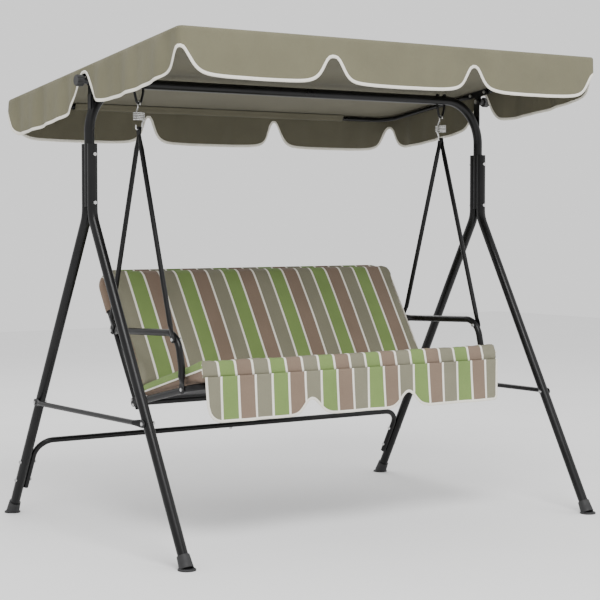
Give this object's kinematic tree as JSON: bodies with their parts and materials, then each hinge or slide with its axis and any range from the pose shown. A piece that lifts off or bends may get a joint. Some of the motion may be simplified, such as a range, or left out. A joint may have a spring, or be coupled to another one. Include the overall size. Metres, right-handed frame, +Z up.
{
  "type": "canopy swing bench",
  "caption": "Garden swing bench with striped cushions, hung by springs and rods from a black tube frame under a tilting scalloped fabric canopy.",
  "frame": {"origin": "on the floor, midway between the four feet", "axes": "+X across the bench to its left-hand sitter's side, -Y the open front, +Z up"},
  "size_m": [1.692, 1.21, 1.552],
  "materials": {
    "black_powder_coat": "satin",
    "boot_rubber": "matt",
    "zinc_bolt": "zinc plated",
    "spring_steel": "bright zinc",
    "knob_plastic": "matt",
    "canopy_cloth": "olive-taupe woven polyester with ivory binding",
    "sling_mesh": "dark grey coated mesh",
    "seat_cloth": "striped woven polyester with ivory piping",
    "back_cloth": "striped woven polyester with ivory piping",
    "hood_cloth": "plain taupe woven polyester",
    "skirt_cloth": "striped woven polyester with ivory binding"
  },
  "bodies": {
    "frame": {"front_leg_left": "black_powder_coat", "front_leg_right": "black_powder_coat", "back_leg_left": "black_powder_coat", "back_leg_right": "black_powder_coat", "foot_front_left": "boot_rubber", "foot_front_right": "boot_rubber", "foot_back_left": "boot_rubber", "foot_back_right": "boot_rubber", "top_bar_end_left": "black_powder_coat", "top_bar_end_right": "black_powder_coat", "side_brace_left": "black_powder_coat", "side_brace_right": "black_powder_coat", "rear_crossbar_left": "black_powder_coat", "rear_crossbar_right": "black_powder_coat", "hanger_loop_left": "black_powder_coat", "hanger_loop_right": "black_powder_coat", "canopy_ear_left": "black_powder_coat", "canopy_ear_right": "black_powder_coat", "top_bar_middle": "black_powder_coat", "post_bolts": "zinc_bolt", "brace_bolts": "zinc_bolt", "crossbar_bolts": "zinc_bolt", "pivot_bolts": "zinc_bolt"},
    "canopy": {"canopy_front_bar_left": "black_powder_coat", "canopy_front_bar_right": "black_powder_coat", "canopy_back_bar_left": "black_powder_coat", "canopy_back_bar_right": "black_powder_coat", "canopy_bracket_left": "black_powder_coat", "canopy_bracket_right": "black_powder_coat", "canopy_frame_bolts": "zinc_bolt", "canopy_fabric": "canopy_cloth"},
    "knob_left": {"canopy_knob_left": "knob_plastic"},
    "knob_right": {"canopy_knob_right": "knob_plastic"},
    "springs": {"spring_left": "spring_steel", "spring_right": "spring_steel"},
    "seat": {"hanger_rod_front_left": "black_powder_coat", "hanger_rod_front_right": "black_powder_coat", "hanger_rod_back_left": "black_powder_coat", "hanger_rod_back_right": "black_powder_coat", "armrest_left": "black_powder_coat", "armrest_right": "black_powder_coat", "seat_frame": "black_powder_coat", "back_frame": "black_powder_coat", "seat_rear_rail": "black_powder_coat", "sling": "sling_mesh", "arm_bolts": "zinc_bolt", "frame_corner_bolts": "zinc_bolt", "seat_cushion": "seat_cloth", "back_cushion": "back_cloth", "cushion_hood": "hood_cloth", "seat_skirt": "skirt_cloth"}
  },
  "joints": [
    {"name": "swing", "type": "hinge", "parent": "frame", "child": "springs", "pos_m": [0, 0, 1.373], "axis": [1, 0, 0], "range_deg": [-20, 20]},
    {"name": "spring_stretch", "type": "slide", "parent": "springs", "child": "seat", "axis": [0, 0, -1], "range_m": [0, 0.02], "stiffness_N_per_m": 20000, "springref_m": -0.025, "deforming": ["spring_left", "spring_right"]},
    {"name": "canopy_tilt", "type": "hinge", "parent": "frame", "child": "canopy", "pos_m": [0, 0, 1.435], "axis": [1, 0, 0], "range_deg": [-20, 20]},
    {"name": "knob_turn_left", "type": "hinge", "parent": "frame", "child": "knob_left", "pos_m": [-0.803, 0, 1.435], "axis": [-1, 0, 0], "range_deg": [0, 180]},
    {"name": "knob_turn_right", "type": "hinge", "parent": "frame", "child": "knob_right", "pos_m": [0.803, 0, 1.435], "axis": [1, 0, 0], "range_deg": [0, 180]}
  ]
}
